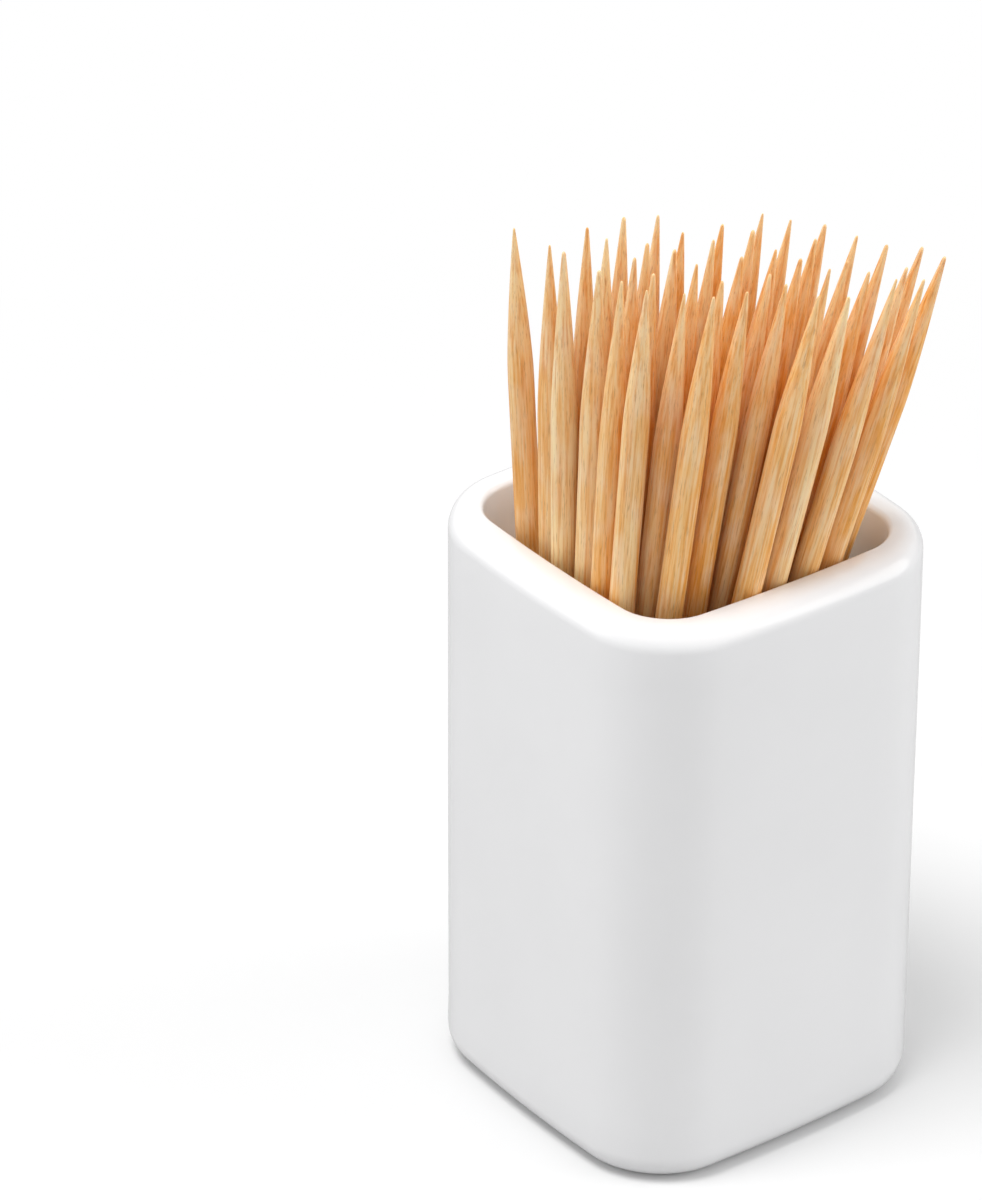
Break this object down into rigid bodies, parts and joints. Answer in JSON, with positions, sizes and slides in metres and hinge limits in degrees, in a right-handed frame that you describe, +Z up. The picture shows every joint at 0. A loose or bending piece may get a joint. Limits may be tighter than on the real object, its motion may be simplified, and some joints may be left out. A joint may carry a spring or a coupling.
{
  "type": "toothpick holder",
  "caption": "Small square ceramic cup with rounded corners, filled with loose double-pointed wooden toothpicks that fan out over its rim.",
  "frame": {"origin": "middle of the cup's base, at the height of the foot that it stands on", "axes": "+Z up; X and Y square to the cup's faces; the camera of the picture stands towards -X and -Y"},
  "size_m": [0.0274, 0.0299, 0.0678],
  "materials": {
    "glaze": "glossy",
    "pick_wood": "matte"
  },
  "bodies": {
    "cup": {"cup": "glaze"},
    "toothpick_01": {"toothpick_01": "pick_wood"},
    "toothpick_02": {"toothpick_02": "pick_wood"},
    "toothpick_03": {"toothpick_03": "pick_wood"},
    "toothpick_04": {"toothpick_04": "pick_wood"},
    "toothpick_05": {"toothpick_05": "pick_wood"},
    "toothpick_06": {"toothpick_06": "pick_wood"},
    "toothpick_07": {"toothpick_07": "pick_wood"},
    "toothpick_08": {"toothpick_08": "pick_wood"},
    "toothpick_09": {"toothpick_09": "pick_wood"},
    "toothpick_10": {"toothpick_10": "pick_wood"},
    "toothpick_11": {"toothpick_11": "pick_wood"},
    "toothpick_12": {"toothpick_12": "pick_wood"},
    "toothpick_13": {"toothpick_13": "pick_wood"},
    "toothpick_14": {"toothpick_14": "pick_wood"},
    "toothpick_15": {"toothpick_15": "pick_wood"},
    "toothpick_16": {"toothpick_16": "pick_wood"},
    "toothpick_17": {"toothpick_17": "pick_wood"},
    "toothpick_18": {"toothpick_18": "pick_wood"},
    "toothpick_19": {"toothpick_19": "pick_wood"},
    "toothpick_20": {"toothpick_20": "pick_wood"},
    "toothpick_21": {"toothpick_21": "pick_wood"},
    "toothpick_22": {"toothpick_22": "pick_wood"},
    "toothpick_23": {"toothpick_23": "pick_wood"},
    "toothpick_24": {"toothpick_24": "pick_wood"},
    "toothpick_25": {"toothpick_25": "pick_wood"},
    "toothpick_26": {"toothpick_26": "pick_wood"},
    "toothpick_27": {"toothpick_27": "pick_wood"},
    "toothpick_28": {"toothpick_28": "pick_wood"},
    "toothpick_29": {"toothpick_29": "pick_wood"},
    "toothpick_30": {"toothpick_30": "pick_wood"},
    "toothpick_31": {"toothpick_31": "pick_wood"},
    "toothpick_32": {"toothpick_32": "pick_wood"},
    "toothpick_33": {"toothpick_33": "pick_wood"},
    "toothpick_34": {"toothpick_34": "pick_wood"},
    "toothpick_35": {"toothpick_35": "pick_wood"},
    "toothpick_36": {"toothpick_36": "pick_wood"},
    "toothpick_37": {"toothpick_37": "pick_wood"},
    "toothpick_38": {"toothpick_38": "pick_wood"},
    "toothpick_39": {"toothpick_39": "pick_wood"},
    "toothpick_40": {"toothpick_40": "pick_wood"},
    "toothpick_41": {"toothpick_41": "pick_wood"},
    "toothpick_42": {"toothpick_42": "pick_wood"},
    "toothpick_43": {"toothpick_43": "pick_wood"},
    "toothpick_44": {"toothpick_44": "pick_wood"}
  },
  "joints": [
    {"name": "toothpick_01_lift", "type": "slide", "parent": "cup", "child": "toothpick_01", "axis": [0.0225, -0.229, 0.9732], "range_m": [0, 0.066]},
    {"name": "toothpick_02_lift", "type": "slide", "parent": "cup", "child": "toothpick_02", "axis": [0.0355, -0.24, 0.9701], "range_m": [0, 0.066]},
    {"name": "toothpick_03_lift", "type": "slide", "parent": "cup", "child": "toothpick_03", "axis": [0.0628, -0.2572, 0.9643], "range_m": [0, 0.066]},
    {"name": "toothpick_04_lift", "type": "slide", "parent": "cup", "child": "toothpick_04", "axis": [0.0755, -0.2657, 0.9611], "range_m": [0, 0.066]},
    {"name": "toothpick_05_lift", "type": "slide", "parent": "cup", "child": "toothpick_05", "axis": [-0.0307, -0.1901, 0.9813], "range_m": [0, 0.066]},
    {"name": "toothpick_06_lift", "type": "slide", "parent": "cup", "child": "toothpick_06", "axis": [-0.0156, -0.2007, 0.9795], "range_m": [0, 0.066]},
    {"name": "toothpick_07_lift", "type": "slide", "parent": "cup", "child": "toothpick_07", "axis": [0.0045, -0.2157, 0.9764], "range_m": [0, 0.066]},
    {"name": "toothpick_08_lift", "type": "slide", "parent": "cup", "child": "toothpick_08", "axis": [0.0271, -0.2324, 0.9722], "range_m": [0, 0.066]},
    {"name": "toothpick_09_lift", "type": "slide", "parent": "cup", "child": "toothpick_09", "axis": [0.0508, -0.2492, 0.9671], "range_m": [0, 0.066]},
    {"name": "toothpick_10_lift", "type": "slide", "parent": "cup", "child": "toothpick_10", "axis": [0.0717, -0.2639, 0.9619], "range_m": [0, 0.066]},
    {"name": "toothpick_11_lift", "type": "slide", "parent": "cup", "child": "toothpick_11", "axis": [0.0914, -0.2767, 0.9566], "range_m": [0, 0.066]},
    {"name": "toothpick_12_lift", "type": "slide", "parent": "cup", "child": "toothpick_12", "axis": [-0.0668, -0.1669, 0.9837], "range_m": [0, 0.066]},
    {"name": "toothpick_13_lift", "type": "slide", "parent": "cup", "child": "toothpick_13", "axis": [-0.0473, -0.1812, 0.9823], "range_m": [0, 0.066]},
    {"name": "toothpick_14_lift", "type": "slide", "parent": "cup", "child": "toothpick_14", "axis": [-0.0298, -0.1952, 0.9803], "range_m": [0, 0.066]},
    {"name": "toothpick_15_lift", "type": "slide", "parent": "cup", "child": "toothpick_15", "axis": [0.0023, -0.2135, 0.9769], "range_m": [0, 0.066]},
    {"name": "toothpick_16_lift", "type": "slide", "parent": "cup", "child": "toothpick_16", "axis": [0.0103, -0.224, 0.9745], "range_m": [0, 0.066]},
    {"name": "toothpick_17_lift", "type": "slide", "parent": "cup", "child": "toothpick_17", "axis": [0.0438, -0.243, 0.969], "range_m": [0, 0.066]},
    {"name": "toothpick_18_lift", "type": "slide", "parent": "cup", "child": "toothpick_18", "axis": [0.0625, -0.2569, 0.9644], "range_m": [0, 0.066]},
    {"name": "toothpick_19_lift", "type": "slide", "parent": "cup", "child": "toothpick_19", "axis": [0.0835, -0.2715, 0.9588], "range_m": [0, 0.066]},
    {"name": "toothpick_20_lift", "type": "slide", "parent": "cup", "child": "toothpick_20", "axis": [-0.0791, -0.1591, 0.9841], "range_m": [0, 0.066]},
    {"name": "toothpick_21_lift", "type": "slide", "parent": "cup", "child": "toothpick_21", "axis": [-0.0652, -0.167, 0.9838], "range_m": [0, 0.066]},
    {"name": "toothpick_22_lift", "type": "slide", "parent": "cup", "child": "toothpick_22", "axis": [-0.0402, -0.1829, 0.9823], "range_m": [0, 0.066]},
    {"name": "toothpick_23_lift", "type": "slide", "parent": "cup", "child": "toothpick_23", "axis": [-0.0158, -0.2042, 0.9788], "range_m": [0, 0.066]},
    {"name": "toothpick_24_lift", "type": "slide", "parent": "cup", "child": "toothpick_24", "axis": [0.001, -0.2146, 0.9767], "range_m": [0, 0.066]},
    {"name": "toothpick_25_lift", "type": "slide", "parent": "cup", "child": "toothpick_25", "axis": [0.0231, -0.2286, 0.9733], "range_m": [0, 0.066]},
    {"name": "toothpick_26_lift", "type": "slide", "parent": "cup", "child": "toothpick_26", "axis": [0.0465, -0.2469, 0.9679], "range_m": [0, 0.066]},
    {"name": "toothpick_27_lift", "type": "slide", "parent": "cup", "child": "toothpick_27", "axis": [-0.0875, -0.15, 0.9848], "range_m": [0, 0.066]},
    {"name": "toothpick_28_lift", "type": "slide", "parent": "cup", "child": "toothpick_28", "axis": [-0.0728, -0.1633, 0.9839], "range_m": [0, 0.066]},
    {"name": "toothpick_29_lift", "type": "slide", "parent": "cup", "child": "toothpick_29", "axis": [-0.0506, -0.1769, 0.9829], "range_m": [0, 0.066]},
    {"name": "toothpick_30_lift", "type": "slide", "parent": "cup", "child": "toothpick_30", "axis": [-0.0322, -0.1931, 0.9807], "range_m": [0, 0.066]},
    {"name": "toothpick_31_lift", "type": "slide", "parent": "cup", "child": "toothpick_31", "axis": [-0.0104, -0.2071, 0.9783], "range_m": [0, 0.066]},
    {"name": "toothpick_32_lift", "type": "slide", "parent": "cup", "child": "toothpick_32", "axis": [0.0086, -0.2203, 0.9754], "range_m": [0, 0.066]},
    {"name": "toothpick_33_lift", "type": "slide", "parent": "cup", "child": "toothpick_33", "axis": [0.0285, -0.2337, 0.9719], "range_m": [0, 0.066]},
    {"name": "toothpick_34_lift", "type": "slide", "parent": "cup", "child": "toothpick_34", "axis": [-0.1114, -0.1348, 0.9846], "range_m": [0, 0.066]},
    {"name": "toothpick_35_lift", "type": "slide", "parent": "cup", "child": "toothpick_35", "axis": [-0.0867, -0.1495, 0.985], "range_m": [0, 0.066]},
    {"name": "toothpick_36_lift", "type": "slide", "parent": "cup", "child": "toothpick_36", "axis": [-0.0654, -0.1675, 0.9837], "range_m": [0, 0.066]},
    {"name": "toothpick_37_lift", "type": "slide", "parent": "cup", "child": "toothpick_37", "axis": [-0.0497, -0.1806, 0.9823], "range_m": [0, 0.066]},
    {"name": "toothpick_38_lift", "type": "slide", "parent": "cup", "child": "toothpick_38", "axis": [-0.0271, -0.1948, 0.9805], "range_m": [0, 0.066]},
    {"name": "toothpick_39_lift", "type": "slide", "parent": "cup", "child": "toothpick_39", "axis": [-0.0066, -0.2116, 0.9773], "range_m": [0, 0.066]},
    {"name": "toothpick_40_lift", "type": "slide", "parent": "cup", "child": "toothpick_40", "axis": [-0.1115, -0.1303, 0.9852], "range_m": [0, 0.066]},
    {"name": "toothpick_41_lift", "type": "slide", "parent": "cup", "child": "toothpick_41", "axis": [-0.0937, -0.1441, 0.9851], "range_m": [0, 0.066]},
    {"name": "toothpick_42_lift", "type": "slide", "parent": "cup", "child": "toothpick_42", "axis": [-0.0775, -0.1584, 0.9843], "range_m": [0, 0.066]},
    {"name": "toothpick_43_lift", "type": "slide", "parent": "cup", "child": "toothpick_43", "axis": [-0.0619, -0.1705, 0.9834], "range_m": [0, 0.066]},
    {"name": "toothpick_44_lift", "type": "slide", "parent": "cup", "child": "toothpick_44", "axis": [-0.1356, -0.1141, 0.9842], "range_m": [0, 0.066]}
  ]
}
